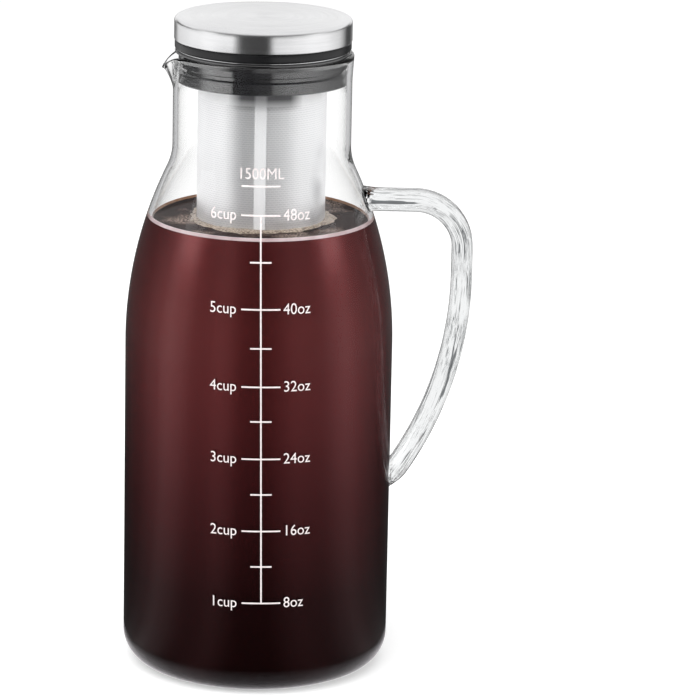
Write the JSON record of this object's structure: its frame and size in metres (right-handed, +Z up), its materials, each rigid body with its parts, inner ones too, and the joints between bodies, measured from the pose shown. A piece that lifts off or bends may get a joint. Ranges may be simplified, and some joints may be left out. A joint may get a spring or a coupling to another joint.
{
  "type": "cold brew coffee maker",
  "caption": "Tall glass jug with pouring spout and glass handle, a hanging steel filter on a silicone collar, and a steel lid that plugs the filter.",
  "frame": {"origin": "centre of the base, on the plane that the jug stands on", "axes": "+Z up along the jug's axis, +X towards the handle, -X towards the spout, -Y towards the side that carries the printed volume scale"},
  "size_m": [0.1355, 0.105, 0.2593],
  "materials": {
    "glass": "clear borosilicate glass, fire-polished rim",
    "steel": "satin stainless steel",
    "filter_steel": "fine etched stainless steel sheet",
    "silicone": "smooth black silicone",
    "core_plastic": "black moulded polypropylene",
    "coffee": "dark brewed coffee with a thin crema, drawn only in the dressed model",
    "print": "white enamel print of the volume scale, drawn only in the dressed model"
  },
  "bodies": {
    "carafe": {"carafe_base": "glass", "carafe_side": "glass", "carafe_shoulder": "glass", "carafe_neck": "glass", "carafe_handle": "glass"},
    "filter": {"filter_tube": "filter_steel", "filter_rim": "steel", "filter_base": "steel", "filter_collar": "silicone"},
    "lid": {"lid_shell": "steel", "lid_core": "core_plastic", "lid_gasket": "silicone", "lid_plug_seal": "silicone"}
  },
  "joints": [
    {"name": "filter_lift", "type": "slide", "parent": "carafe", "child": "filter", "axis": [0, 0, 1], "range_m": [0, 0.2]},
    {"name": "lid_lift", "type": "slide", "parent": "filter", "child": "lid", "axis": [0, 0, 1], "range_m": [0, 0.06]}
  ]
}
